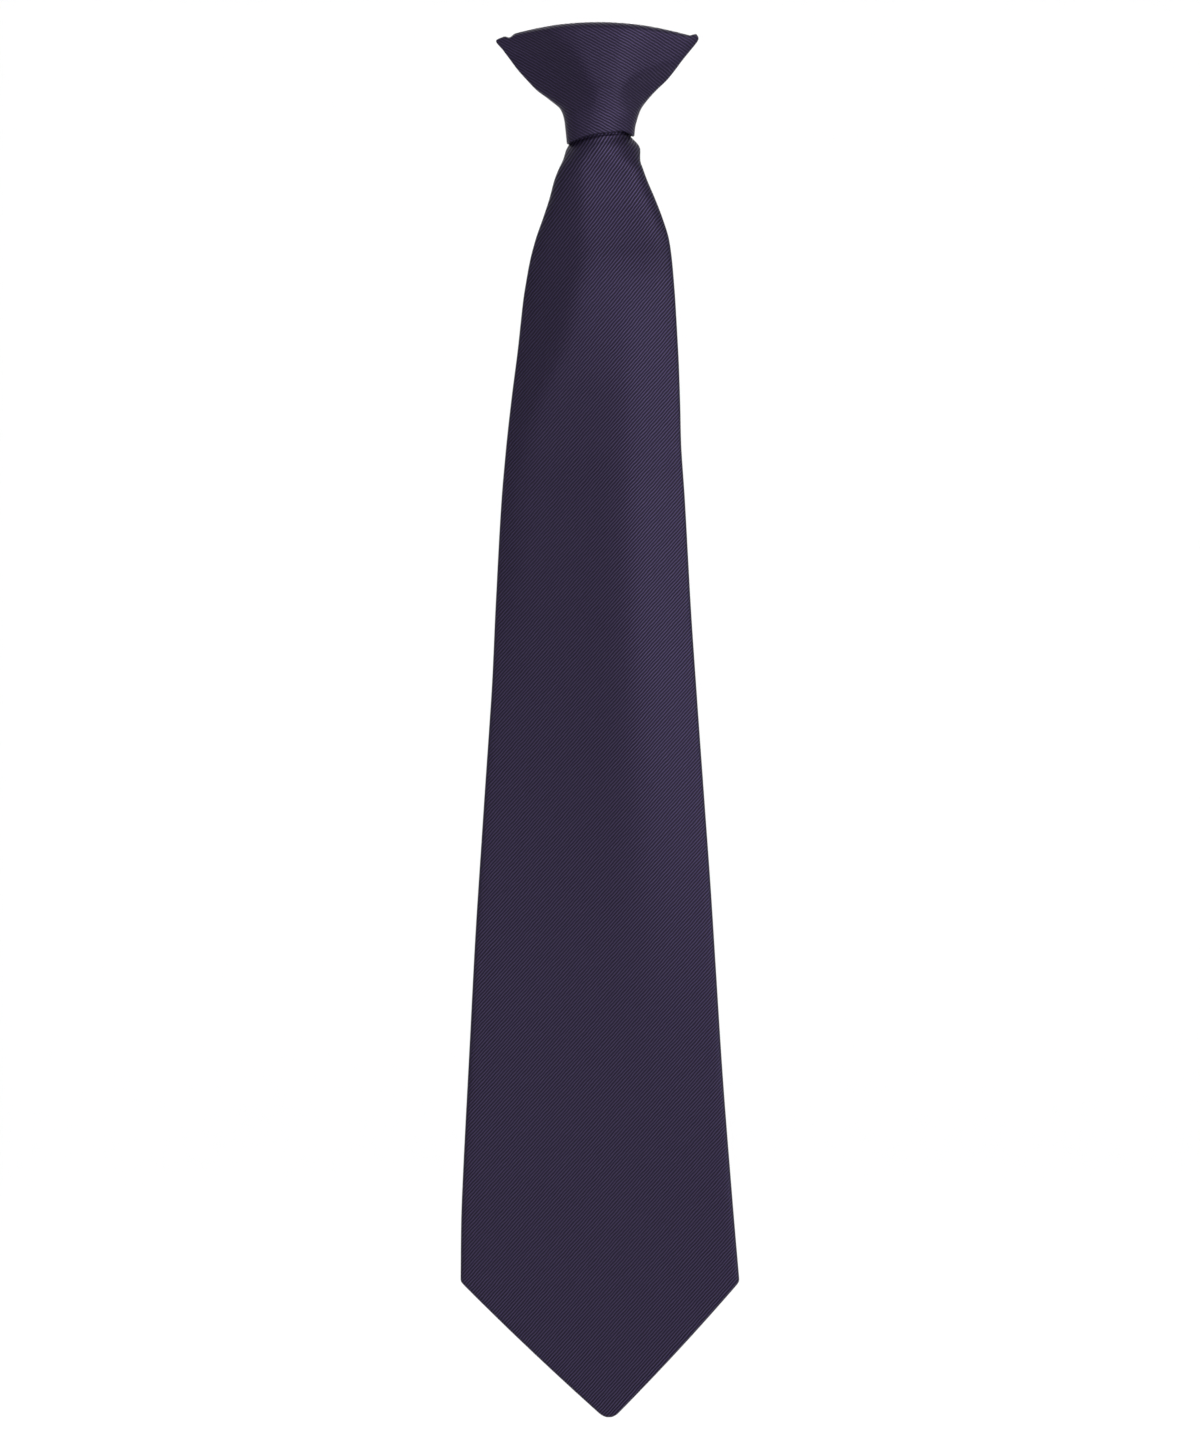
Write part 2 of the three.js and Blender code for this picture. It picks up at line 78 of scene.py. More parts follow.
TUCK = 1.1  # how deep the knot's edge presses into the blade's front
TUCK_REACH = 0.55  # how far up and down the groove reaches
TUCK_DROP = 0.3  # how far below the edge its middle lies
TUCK_START = 0.3  # how far in front of the knot's back the groove starts, as a share of KNOT_DEPTH
TUCK_FULL = 0.7  # and how far in front of it the groove has its full depth
COLLAR_GAP = 5.4  # between the knot's back and the clip's tongue

# Blade
BLADE_WIDTH = 90  # across the shoulders
NECK_WIDTH = 43.8  # across the folded blade at the knot's mouth, laid flat
BODY_LENGTH = 370  # from the mouth to the shoulders
POINT_LENGTH = 43.7  # from the shoulders to the tip
POINT_BOW = 0.7  # how far each edge of the point bulges out of a straight line
TIP_WIDTH = 3.5  # the blunt end of the point
HEM = 12  # the turned edge along the point, measured straight across the blade
SEAM_GAP = 0.5  # between the back flaps along the centre seam
NECK_LENGTH = 12  # the stretch of the blade that is hidden in the knot
SHOULDER_SOFTNESS = 0.6  # how softly the body's edge turns into the point's
FLAT_DROP = 12  # the drop at which the front is flat and its bends lie close to the side folds
FLATNESS = 7  # how close they lie, where 1 is evenly over the whole front
TIP_SWAY = 0.066  # how far the point leans to the right, as a share of its length
HELD_CURL = 90  # the most that the band bends the blade's side folds back, in degrees
NECK_TAPER = 0.75  # the neck's end inside the knot, as a share of its width at the mouth
LEAST_FLAP = 0.2  # a flap's least reach, as a share of half the blade's width

# The knot from its top to its mouth. mid, left and right: how far the row lies below the top edge in
# the middle and at its two ends, as shares of KNOT_HEIGHT. left_flare and right_flare: the row's two
# half widths, 0 at the band and 1 at the wing tips. depth: a share of KNOT_DEPTH, at the crest.
# wing: 1 where the row is a pair of swept wings with a column between them, 0 where it is a round band.
# crest, left_ridge and right_ridge: where the column is deepest and where it falls away to each wing,
# as shares of the half widths.
KNOT_COLUMNS = (
    "mid", "left", "right", "left_flare", "right_flare",
    "depth", "wing", "crest", "left_ridge", "right_ridge",
)
KNOT_ROWS = (
    (0.00, 0.12, 0.13, 0.93, 0.93, 0.66, 1.00, -0.52, 0.67, 1.30),
    (0.06, 0.16, 0.16, 1.04, 0.96, 0.69, 1.00, -0.50, 0.66, 1.30),
    (0.13, 0.24, 0.24, 0.94, 0.85, 0.72, 0.98, -0.46, 0.62, 1.25),
    (0.22, 0.33, 0.33, 0.83, 0.73, 0.76, 0.94, -0.38, 0.54, 1.20),
    (0.33, 0.42, 0.42, 0.72, 0.62, 0.81, 0.86, -0.30, 0.46, 0.98),
    (0.43, 0.51, 0.51, 0.59, 0.50, 0.86, 0.74, -0.24, 0.40, 0.80),
    (0.53, 0.60, 0.60, 0.45, 0.35, 0.91, 0.56, -0.20, 0.34, 0.68),
    (0.62, 0.69, 0.69, 0.26, 0.22, 0.96, 0.32, -0.17, 0.30, 0.64),
    (0.72, 0.78, 0.78, 0.10, 0.12, 0.99, 0.10, -0.15, 0.35, 0.60),
    (0.81, 0.87, 0.87, 0.05, 0.07, 1.00, 0.00, -0.15, 0.40, 0.60),
    (0.91, 0.97, 0.95, 0.03, 0.04, 0.98, 0.00, -0.15, 0.40, 0.60),
    (1.00, 1.09, 1.02, 0.01, 0.03, 0.95, 0.00, -0.15, 0.40, 0.60),
)
# The knot at its mouth, by name
MOUTH_ROW = dict(zip(KNOT_COLUMNS, KNOT_ROWS[-1]))

# The blade from the knot down to its shoulders. at: below the mouth, as a share of BODY_LENGTH.
# left and right: how far its two sides reach from the middle, as shares of half the flat width there.
# curl: how far each side fold is turned back, in degrees. place: where the crease runs, as a share of
# the half width. crease and ridge: the turn across the two long soft folds, in degrees. stand: how far
# the front stands off the knot's back, as a share of KNOT_DEPTH. The rows above these are the held ones.
BLADE_COLUMNS = ("at", "left", "right", "curl", "place", "crease", "ridge", "stand")
BLADE_ROWS = (
    (0.0028, 0.455, 0.470, 74, -0.50, 6, 0, 0.90),
    (0.0068, 0.457, 0.535, 72, -0.50, 10, 0, 0.91),
    (0.0092, 0.462, 0.566, 73, -0.50, 14, 0, 0.93),
    (0.013, 0.491, 0.586, 75, -0.49, 16, 0, 0.95),
    (0.022, 0.531, 0.580, 78, -0.48, 18, 0, 0.97),
    (0.031, 0.593, 0.619, 76, -0.44, 20, 0, 0.98),
    (0.040, 0.645, 0.667, 72, -0.40, 20, 0, 0.98),
    (0.057, 0.707, 0.771, 62, -0.36, 20, 0, 0.98),
    (0.074, 0.784, 0.860, 49, -0.33, 20, 0, 0.96),
    (0.092, 0.867, 0.929, 34, -0.28, 22, 0, 0.93),
    (0.109, 0.922, 0.951, 25, -0.23, 24, 0, 0.88),
    (0.127, 0.957, 0.960, 16, -0.27, 26, 4, 0.85),
    (0.144, 0.982, 0.964, 12, -0.32, 26, 8, 0.83),
    (0.188, 1.013, 0.962, 6, -0.44, 22, 15, 0.77),
    (0.232, 1.051, 0.949, 0, -0.68, 22, 17, 0.72),
    (0.275, 1.076, 0.931, 0, -0.80, 20, 18, 0.68),
    (0.319, 1.087, 0.937, 0, -0.86, 16, 22, 0.64),
    (0.405, 1.075, 0.934, 0, -0.80, 6, 22, 0.60),
    (0.493, 1.057, 0.943, 0, -0.80, 2, 18, 0.57),
    (0.580, 1.059, 0.955, 0, -0.80, 0, 14, 0.55),
    (0.667, 1.059, 0.965, 0, -0.80, 0, 8, 0.53),
    (0.797, 1.045, 0.968, 0, -0.80, 0, 2, 0.52),
    (0.929, 1.028, 0.986, 0, -0.80, 0, 0, 0.52),
    (1.000, 1.000, 1.000, 0, -0.80, 0, 0, 0.52),
)
# The blade just below the mouth, by name
NECK_ROW = dict(zip(BLADE_COLUMNS, BLADE_ROWS[0]))
CREASE_SOFTNESS = 0.10  # in shares of the blade's half width
RIDGE_PLACE = 0.40
RIDGE_SOFTNESS = 0.15

# The bar of stitches across the centre seam
TACK_ABOVE = 40  # above the shoulders
TACK_WIDTH = 9
TACK_HEIGHT = 1.3
TACK_THICKNESS = 0.7
TACK_BLUNTNESS = 6  # the power by which its ends close: 2 is an ellipse, and more is blunter
TACK_END = 0.001  # the square of the section's size at the very ends
TACK_STITCHES = 14
TACK_RIPPLE = 0.12  # how far each stitch swells and narrows the bar, as a share of its thickness
TACK_ROWS = 99
TACK_STEPS = 16

# How finely the knot is divided
KNOT_STEPS = 240  # round it
KNOT_SIDE_STEPS = 12  # those of each rolled side that lie behind the wing's end
TOP_ROWS = 10  # down the rounded top edge
TOP_START = 0.06  # where they start in its quarter turn
BODY_ROWS = 90  # from there down to the mouth
RIM_ROWS = 8  # round the mouth's rolled rim
LINING_ROWS = 40  # back up inside
LINING_TOP = 0.2  # how far below the top the lining ends, as a share of KNOT_HEIGHT

# How finely the blade is divided
FLAP_STEPS = 20  # along each back flap
FOLD_STEPS = 9  # round each side fold
FRONT_STEPS = 72  # along the front layer
FACE_STEPS = 2 * FLAP_STEPS + 2 * FOLD_STEPS + FRONT_STEPS  # along the cloth's outer or inner face
EDGE_STEPS = 4  # round each flap's edge
WALK_STEPS = 400  # along the middle line that the layers follow
TIP_DROP = BODY_LENGTH + POINT_LENGTH - LAYERS  # where the tip starts to close
TIP_ROWS = 6  # over the closing tip
TIP_TURN = 0.92  # how far the tip closes, as a share of a quarter turn
BLADE_SPANS = (  # first drop, last drop and rows
    (-NECK_LENGTH, 0, 8),
    (0, 12, 40),
    (12, 60, 60),
    (60, BODY_LENGTH - TACK_ABOVE, 129),
    (BODY_LENGTH - TACK_ABOVE, TIP_DROP, 109),
)
AREA_ROWS = 400  # down the flat cloth whose area is worked out

# Weave, in millimetres and degrees
RIB_PITCH = 0.82  # from rib to rib on the blade
KNOT_RIB_PITCH = 0.88  # and on the knot
BLADE_RIB_ANGLE = 48  # how steeply the ribs rise to the right
KNOT_RIB_ANGLE = -28
SEEN_SHARE = 0.85  # 0 lays the ribs evenly along the bent front, and 1 evenly as seen from the front
NECK_STRETCH = 0.29  # how far the cloth is pulled lengthwise at the mouth
STRETCH_LENGTH = 40  # the length over which that fades
STITCH_PITCH = 0.62  # from stitch to stitch along a rib, in rib pitches
STITCH_SLANT = 0.5  # how far the stitches of one rib stand off those of the next, in stitches
STITCH_SHARE = 0.2  # how much of a rib's light and height its stitches make
RIB_SHARPNESS = 2.5  # how narrow the lit line along a rib is
WANDER = 0.35  # how far a rib strays
WANDER_SCALE = 0.35  # and how quickly, along the cloth
SLUB_SCALE = 1.4  # how close the uneven places of the thread lie
SLUB_LIGHT = 0.6  # how much they change the light
SLUB_HEIGHT = 0.15  # and the height

# Looks of the cloth: the groove between two ribs, its own dark tone with painted shade, and the thread
# on a rib, its own tone with a painted highlight along its crest
GROOVE_TONE_AND_SHADE = (0.0043, 0.0031, 0.0074, 1)
THREAD_TONE_AND_HIGHLIGHT = (0.0352, 0.0266, 0.0612, 1)
KNOT_GROOVE_TONE_AND_SHADE = (0.0076, 0.0056, 0.0130, 1)
KNOT_THREAD_TONE_AND_HIGHLIGHT = (0.0298, 0.0223, 0.0517, 1)
STITCHING = (0.018, 0.013, 0.032, 1)
STITCHING_ROUGHNESS = 0.55
RIB_HEIGHT = 0.00010  # in metres
GROOVE_SATIN = 0.2  # how metallic the groove's sheen is
THREAD_SATIN = 0.7  # and how much more the thread's
CLOTH_ROUGHNESS = 0.50
RIB_POLISH = 0.06  # how much smoother a rib's crest is
CLOTH_SPECULAR = 0.06

# Looks of the clip's spring steel
STEEL_DARK = (0.30, 0.31, 0.33, 1)
STEEL_LIGHT = (0.38, 0.39, 0.41, 1)
STAIN_SCALE = 160.0
LINE_SCALE = (9000.0, 300.0, 300.0)  # fine across the strip and long down it
LINE_STRENGTH = 0.35
LINE_HEIGHT = 0.00004  # in metres
STEEL_ROUGHNESS = 0.28
LINE_ROUGHNESS = 0.16  # how much rougher the steel is between its lines

# Stage, in metres: a pale floor that rises all round into a wall, so that no edge shows from any side
FLOOR = -0.62
FLOOR_COLOUR = (0.9, 0.9, 0.9, 1)
FLOOR_ROUGHNESS = 0.9
FLOOR_START = 0.001  # the innermost ring
STAGE_FLAT = 7.0  # how far out the floor is level
STAGE_REACH = 14.0  # how far out the wall stands
STAGE_WALL = 7.0  # and how high it is
STAGE_ROWS = 33  # up the rise
STAGE_STEPS = 96  # round it

# Lights, in metres and watts
MIDDLE = (0.0, -0.01, -0.2)  # where the lights point
AIR_COLOUR = (1, 1, 1, 1)
AIR_STRENGTH = 1.15

# Camera, in metres: straight on, with a long lens
VIEW_HEIGHT = 0.4644  # what it sees from top to bottom at the tie
VIEW_CENTRE = -0.2161
LENS = 300
SENSOR = 36


def smoothstep(value, low, high):
    """0 up to the low value and 1 from the high one on. Between them, three times the share's square
    less twice its cube."""
    share = np.clip((value - low) / (high - low), 0, 1)
    return share * share * (3 - 2 * share)


def lerp(low, high, share):
    """The low value plus this share of the way to the high one."""
    return low + (high - low) * share


def curve_through(places, values, where):
    """A cubic curve through the points, each slope the harmonic mean of the slopes beside it, and
    level where those differ in sign, so that the curve never swings past a point."""
    slopes = np.diff(values) / np.diff(places)
    before, after = slopes[:-1], slopes[1:]
    same = before * after > 0
    tangents = np.concatenate([slopes[:1], np.zeros(len(before)), slopes[-1:]])
    tangents[1:-1][same] = 2 * before[same] * after[same] / (before[same] + after[same])
    k = np.clip(np.searchsorted(places, where) - 1, 0, len(places) - 2)
    span = places[k + 1] - places[k]
    t = (where - places[k]) / span
    start = (2 * t**3 - 3 * t**2 + 1) * values[k] + (t**3 - 2 * t**2 + t) * span * tangents[k]
    end = (3 * t**2 - 2 * t**3) * values[k + 1] + (t**3 - t**2) * span * tangents[k + 1]
    return start + end


def table_at(names, rows, where):
    """Every column of a table along smooth curves through its rows, at these values of its first
    column."""
    table = np.array(rows, float)
    return {name: curve_through(table[:, 0], table[:, i], where) for i, name in enumerate(names)}


def half_knot(flare):
    """Half the knot's width: from half the band's at 0 to half the wing span at 1."""
    return lerp(BAND_WIDTH, WING_SPAN, flare) / 2


def knot_thickness(row, across):
    """From front to back: the band is even, and a winged row falls away from its column to its ends,
    partly in a straight line from the crest and partly by a smooth step at the column's flank."""
    out = np.abs(across)
    ridge = np.where(across < 0, row["left_ridge"], row["right_ridge"])
    flank = 1 - smoothstep(out, ridge - RIDGE_SPREAD, ridge + RIDGE_SPREAD)
    away = np.hypot(across - row["crest"], CREST_SOFTNESS)
    fall = 1 - away / (1 + np.where(across < row["crest"], row["crest"], -row["crest"]))
    column = lerp(flank, fall, COLUMN_FALL)
    return lerp(WING_THICKNESS, row["depth"] * KNOT_DEPTH, lerp(1, column, row["wing"]))


def mouth_lift(across):
    """How far the mouth's edge is lifted: a bell curve on its right half."""
    return MOUTH_LIFT * np.exp(-((across - LIFT_PLACE) / LIFT_SPREAD) ** 2)


def ear_lift(x):
    """The folded corners behind the wings: a bell-shaped dip beside the left one, and a smooth rise
    to the right one."""
    left = -NOTCH_DEPTH * np.exp(-((x - NOTCH_PLACE) / NOTCH_SPREAD) ** 2)
    right = EAR_RISE * smoothstep(x, EAR_START, EAR_PEAK)
    return left + right


def knot_rings(down, skin, fullness, lower):
    """Rings of the knot, one for each place down its middle. Each is a closed curve whose two ends
    are the wings: x is the cosine of the angle times the half width, y swings from the front to the
    back by a power of the sine, and z is a parabola through the row's middle and its two ends. skin
    is how far the ring lies inside the knot's face, fullness how much of its depth it has, and lower
    how far it is moved down."""
    row = {name: value[:, None] for name, value in table_at(KNOT_COLUMNS, KNOT_ROWS, down).items()}
    angle = 2 * np.pi * np.arange(KNOT_STEPS) / KNOT_STEPS
    across, side = np.cos(angle)[None, :], np.sin(angle)[None, :]
    skin, fullness, lower = skin[:, None], fullness[:, None], lower[:, None]
    out = np.abs(across)
    inset = lerp(1, WING_INSET, row["wing"]) * skin
    half = np.where(across > 0, half_knot(row["right_flare"]), half_knot(row["left_flare"])) - inset
    back = -COLLAR_GAP / 2 + WING_SWEEP * smoothstep(out, SWEEP_START, 1) * row["wing"] - skin
    front = back - knot_thickness(row, across) + 2 * skin
    bulge = np.sign(side) * np.abs(side) ** np.where(side > 0, BACK_ROUND, FRONT_ROUND) * fullness
    sag = (row["left"] + row["right"]) / 2 - row["mid"]
    depth_down = row["mid"] + (row["right"] - row["left"]) / 2 * across + sag * out**2
    x = across * half
    y = (front + back) / 2 + bulge * (back - front) / 2
    lifted = mouth_lift(across) * smoothstep(row["mid"], LIFT_START, 1)
    lifted = lifted + ear_lift(x) * (1 - smoothstep(row["mid"] * KNOT_HEIGHT, 0, EAR_DEPTH))
    z = KNOT_RISE - depth_down * KNOT_HEIGHT + lifted - lower
    return np.stack([x, y, z], axis=-1)


def cloth_angle(u, z, degrees):
    """The weave's place across and along ribs that rise by this angle: the point across and up the
    cloth, turned by it."""
    turn = math.radians(degrees)
    across = z * math.cos(turn) - u * math.sin(turn)
    along = u * math.cos(turn) + z * math.sin(turn)
    return np.stack([across, along], axis=-1)


def mesh_object(name, points, faces, weave):
    """A smooth mesh in metres from points in millimetres. weave is a UV map's place for each corner
    of each face."""
    mesh = bpy.data.meshes.new(name)
    mesh.from_pydata((points.reshape(-1, 3) * MM).tolist(), [], [list(map(int, face)) for face in faces])
    mesh.polygons.foreach_set("use_smooth", np.ones(len(faces), bool))
    layer = mesh.uv_layers.new(name="weave")
    layer.data.foreach_set("uv", weave.ravel())
    mesh.update()
    piece = bpy.data.objects.new(name, mesh)
    bpy.context.scene.collection.objects.link(piece)
    return piece


def at_corners(weave, faces):
    """The weave's place at each point, repeated for each corner of the faces."""
    return weave.reshape(-1, 2)[np.concatenate(faces)]


def tube_faces(rows, columns):
    """Four-sided faces between neighbouring rings, each of which closes on itself."""
    row, column = np.meshgrid(np.arange(rows - 1), np.arange(columns), indexing="ij")
    right = (column + 1) % columns
    a, b = row * columns + column, row * columns + right
    c, d = (row + 1) * columns + right, (row + 1) * columns + column
    return np.stack([a, d, c, b], axis=-1).reshape(-1, 4)


def ring_lid(start, steps, upward):
    """A lid over a ring whose front and back halves mirror each other: strips between facing points,
    and a triangle at each end."""
    k = np.arange(1, steps // 2 - 1)
    strips = start + np.stack([k, k + 1, steps - k - 1, steps - k], axis=-1)
    ends = start + np.array([[0, 1, steps - 1], [steps // 2 - 1, steps // 2, steps // 2 + 1]])
    faces = [*strips, *ends]
    return faces if upward else [face[::-1] for face in faces]


def girth_place(points):
    """How far round the knot each point of each ring lies from the front's middle, which is three
    quarters of the way round the ring, as a running sum of the steps between neighbours: below zero
    to the left, above it to the right, and with its jump at the back's middle."""
    steps = points.shape[1]
    middle = 3 * steps // 4
    stretch = np.linalg.norm(np.diff(points, axis=1, append=points[:, :1]), axis=-1)
    from_middle = np.cumsum(np.roll(stretch, -middle, axis=1), axis=1)
    walked = np.roll(from_middle, middle + 1, axis=1)
    walked[:, middle] = 0
    past_back = (np.arange(steps) - middle) % steps > steps // 2
    return np.where(past_back, walked - from_middle[:, -1:], walked)


def knot_cloth():
    """The knot's wrapped cloth: rings from the rounded top down to the mouth, round the rolled rim,
    and back up inside as the lining of the hollow. The top and the rim are arcs, by the sine and the
    cosine of their turn."""
    top = 0.5 * np.pi * np.linspace(TOP_START, 1, TOP_ROWS)
    top_down = TOP_ROUND * (1 - np.cos(top)) / KNOT_HEIGHT
    rim = CLOTH / 2
    end = 1 - rim / KNOT_HEIGHT
    body = np.linspace(top_down[-1], end, BODY_ROWS)[1:]
    turn = np.pi * np.linspace(0, 1, RIM_ROWS)[1:]
    inside = np.linspace(end, LINING_TOP, LINING_ROWS)[1:]
    down = np.concatenate([top_down, body, np.full(len(turn), end), inside])
    outer = np.zeros(len(top) + len(body))
    skin = np.concatenate([outer, rim * (1 - np.cos(turn)), np.full(len(inside), CLOTH)])
    fullness = np.concatenate([np.sin(top), np.ones(len(down) - len(top))])
    lower = np.concatenate([outer, rim * np.sin(turn), np.zeros(len(inside))])
    points = knot_rings(down, skin, fullness, lower)

    sides = tube_faces(len(down), KNOT_STEPS)
    lids = [
        *ring_lid(0, KNOT_STEPS, upward=True),
        *ring_lid((len(down) - 1) * KNOT_STEPS, KNOT_STEPS, upward=False),
    ]
    front_weave = cloth_angle(girth_place(points), points[..., 2], KNOT_RIB_ANGLE)
    back_weave = cloth_angle(-points[..., 0], points[..., 2], KNOT_RIB_ANGLE)
    column = np.repeat(np.arange(len(sides)) % KNOT_STEPS, sides.shape[1])[:, None]
    on_back = (column >= KNOT_SIDE_STEPS) & (column < KNOT_STEPS // 2 - KNOT_SIDE_STEPS)
    side_weave = np.where(on_back, at_corners(back_weave, sides), at_corners(front_weave, sides))
    weave = np.concatenate([side_weave, at_corners(front_weave, lids)])
    return mesh_object("knot_cloth", points, [*sides, *lids], weave)


def flat_width(drop):
    """The blade's flat width: a straight taper to the shoulders, or the point's edges, each a
    straight line with a parabola on it, whichever is less. The logarithm of a sum of exponentials
    eases them into each other over the shoulders."""
    share = (drop - BODY_LENGTH) / POINT_LENGTH
    taper = lerp(NECK_WIDTH, BLADE_WIDTH, np.maximum(0, drop) / BODY_LENGTH)
    both_bows = 2 * POINT_BOW * 4 * share * (1 - share) * (share > 0)
    point = lerp(BLADE_WIDTH, TIP_WIDTH, share) + both_bows
    easing = SHOULDER_SOFTNESS * np.logaddexp(0, -np.abs(taper - point) / SHOULDER_SOFTNESS)
    return np.minimum(taper, point) - easing


def held_rows(drop):
    """The blade's rows where the knot holds it. Each side fold is an arc that turns back until it
    fills the room in the band's hollow: its turn is the arc cosine of 1 less the room over the
    radius, and its reach is the radius times the sine of that turn."""
    radius = BAND_WIDTH / 2 - NESTLE - LAYERS
    radius = radius * lerp(1, NECK_TAPER, np.maximum(0, -drop) / NECK_LENGTH)
    room = MOUTH_ROW["depth"] * KNOT_DEPTH - 2 * (NESTLE + LAYERS)
    bend = np.minimum(math.radians(HELD_CURL), np.arccos(np.maximum(-1, 1 - room / radius)))
    level = table_at(KNOT_COLUMNS, KNOT_ROWS, np.minimum(1, 1 + drop / KNOT_HEIGHT))
    stand = knot_thickness(level, radius / (2 * half_knot(level["right_flare"]))) - NESTLE
    reach = (radius * np.sin(bend) + LAYERS) / (flat_width(drop) / 2)
    nothing = np.zeros_like(drop)
    return {
        "at": drop / BODY_LENGTH,
        "left": reach,
        "right": reach,
        "curl": np.degrees(bend),
        "place": nothing + NECK_ROW["place"],
        "crease": nothing,
        "ridge": nothing,
        "stand": stand / KNOT_DEPTH,
    }


def blade_rows(drop):
    """The blade's rows at these drops: the held ones down to the end of the mouth's edge, and below it
    the table's smooth curves. left and right come back in millimetres, with the point's lean."""
    right_free = (MOUTH_ROW["right"] - 1) * KNOT_HEIGHT + SNUG
    left_free = (MOUTH_ROW["left"] - 1) * KNOT_HEIGHT + SNUG
    held = held_rows(np.minimum(drop, right_free))
    last_held = held_rows(np.array([right_free]))
    first_row = [float(last_held[name][0]) for name in BLADE_COLUMNS]
    where = np.clip(drop / BODY_LENGTH, first_row[0], 1)
    hanging = table_at(BLADE_COLUMNS, [first_row, *BLADE_ROWS], where)
    rows = {name: np.where(drop <= right_free, held[name], hanging[name]) for name in BLADE_COLUMNS}
    rows["flat"] = smoothstep(drop, right_free, FLAT_DROP)
    half = flat_width(drop) / 2
    sway = TIP_SWAY * np.maximum(0, drop - BODY_LENGTH)
    rows["left"] = np.where(drop <= left_free, held["left"], rows["left"]) * half - sway
    rows["right"] = rows["right"] * half + sway
    return rows


def middle_lines(rows):
    """The line between the blade's two layers, seen from above, one for each row. Its direction turns
    by the curl, evenly in the band and as an odd power of the place below it, and steeply across the
    crease and the ridge, whose mean turn is taken off. The line is the running sum of its steps, in
    the size that reaches from the left to the right."""
    spots = ((np.arange(WALK_STEPS) + 0.5) / WALK_STEPS * 2 - 1)[None, :]
    ridge_place = np.full(len(rows["ridge"]), RIDGE_PLACE)
    folds = (
        (rows["crease"], rows["place"], CREASE_SOFTNESS),
        (rows["ridge"], ridge_place, RIDGE_SOFTNESS),
    )
    turns = rows["curl"][:, None] * lerp(spots, spots**FLATNESS, rows["flat"][:, None])
    for turn, place, softness in folds:
        bend = 0.5 + 0.5 * np.tanh((spots - place[:, None]) / softness)
        turns = turns + turn[:, None] * (bend - bend.mean(axis=1, keepdims=True))
    turns = np.radians(turns)
    steps = np.stack([np.cos(turns), np.sin(turns)], axis=-1)
    lines = np.concatenate([np.zeros((len(turns), 1, 2)), np.cumsum(steps, axis=1)], axis=1)
    lines = lines - lines.min(axis=1, keepdims=True)
    width = rows["left"] + rows["right"] - 2 * LAYERS
    lines = lines * (width / lines[..., 0].max(axis=1))[:, None, None]
    corner_x = LAYERS - rows["left"]
    corner_y = LAYERS - COLLAR_GAP / 2 - rows["stand"] * KNOT_DEPTH
    return lines + np.stack([corner_x, corner_y], axis=-1)[:, None, :]


def beside(lines, shares, back, along):
    """Points at a share along each line, from -1 to 1, moved to the back, at right angles to the
    line, and along it."""
    place = (shares + 1) / 2 * WALK_STEPS
    k = np.clip(place.astype(int), 0, WALK_STEPS - 1)[..., None]
    here, there = np.take_along_axis(lines, k, axis=1), np.take_along_axis(lines, k + 1, axis=1)
    step = there - here
    point = here + step * (place[..., None] - k)
    tangent = step / np.linalg.norm(step, axis=-1, keepdims=True)
    normal = np.stack([-tangent[..., 1], tangent[..., 0]], axis=-1)
    return point + normal * back[..., None] + tangent * along[..., None]


def mouth_edge(x):
    """The height of the knot's lower edge at a place across it: a parabola through its middle and its
    two ends, with the lift added."""
    mid, left, right = MOUTH_ROW["mid"], MOUTH_ROW["left"], MOUTH_ROW["right"]
    across = np.clip(2 * x / BAND_WIDTH, -1, 1)
    down = mid + (right - left) / 2 * across + ((left + right) / 2 - mid) * across**2
    return KNOT_RISE - down * KNOT_HEIGHT + mouth_lift(across)


def tuck(plan, z):
    """How far the blade's front is pushed back by the knot's edge: a bell curve over the height
    about that edge, fading out from the front of the band to its middle."""
    x, y = plan[..., 0], plan[..., 1]
    start = COLLAR_GAP / 2 + TUCK_START * KNOT_DEPTH
    front = smoothstep(-y, start, COLLAR_GAP / 2 + TUCK_FULL * KNOT_DEPTH)
    return TUCK * np.exp(-((z - mouth_edge(x) + TUCK_DROP) / TUCK_REACH) ** 2) * front


def blade_drops():
    """The drops of the blade's rows, and the share of its thickness that each row has. The last rows
    close the tip in an arc: they drop by the sine of its turn and shrink by the cosine."""
    drops = np.concatenate([
        *(np.linspace(first, last, rows, endpoint=False) for first, last, rows in BLADE_SPANS),
        np.full(TIP_ROWS + 1, TIP_DROP),
    ])
    shrink = np.ones(len(drops))
    turn = 0.5 * np.pi * np.linspace(0, TIP_TURN, TIP_ROWS + 1)
    drops[-len(turn):] += LAYERS * np.sin(turn)
    shrink[-len(turn):] = np.cos(turn)
    return drops, shrink[:, None]


def cloth_face(flap, distance):
    """A face of the blade's cloth, from the left flap's edge to the right one's, at a distance from
    the middle line: shares of that line, offsets to the back, and offsets along it. The offset turns
    from the back to the front in a half circle at each side fold."""
    flap_line = np.linspace(1, 0, FLAP_STEPS)
    fold = np.pi * np.linspace(0, 1, FOLD_STEPS + 2)[1:-1]
    ones = np.ones_like(flap)
    shares = np.concatenate([
        -1 + flap * flap_line,
        -ones * np.ones(FOLD_STEPS),
        ones * np.linspace(-1, 1, FRONT_STEPS),
        ones * np.ones(FOLD_STEPS),
        1 - flap * flap_line[::-1],
    ], axis=1)
    flap_one, front_one = np.ones(FLAP_STEPS), np.ones(FRONT_STEPS)
    back = np.concatenate([flap_one, np.cos(fold), -front_one, -np.cos(fold), flap_one])
    along = np.concatenate([0 * flap_one, -np.sin(fold), 0 * front_one, np.sin(fold), 0 * flap_one])
    return shares, back * distance, along * distance


def flap_edge(flap, side, shrink):
    """The half circle round a flap's edge: from the outer face to the inner one on the right, where
    side is 1, and from the inner to the outer one on the left, where it is -1."""
    roll = np.pi * np.linspace(0, 1, EDGE_STEPS + 2)[1:-1]
    middle = (LAYERS + LAYER_GAP / 2) / 2 * shrink
    radius = side * (CLOTH / 2 * shrink)
    shares = side * (1 - flap) * np.ones(EDGE_STEPS)
    return shares, middle + radius * np.cos(roll), -radius * np.sin(roll)


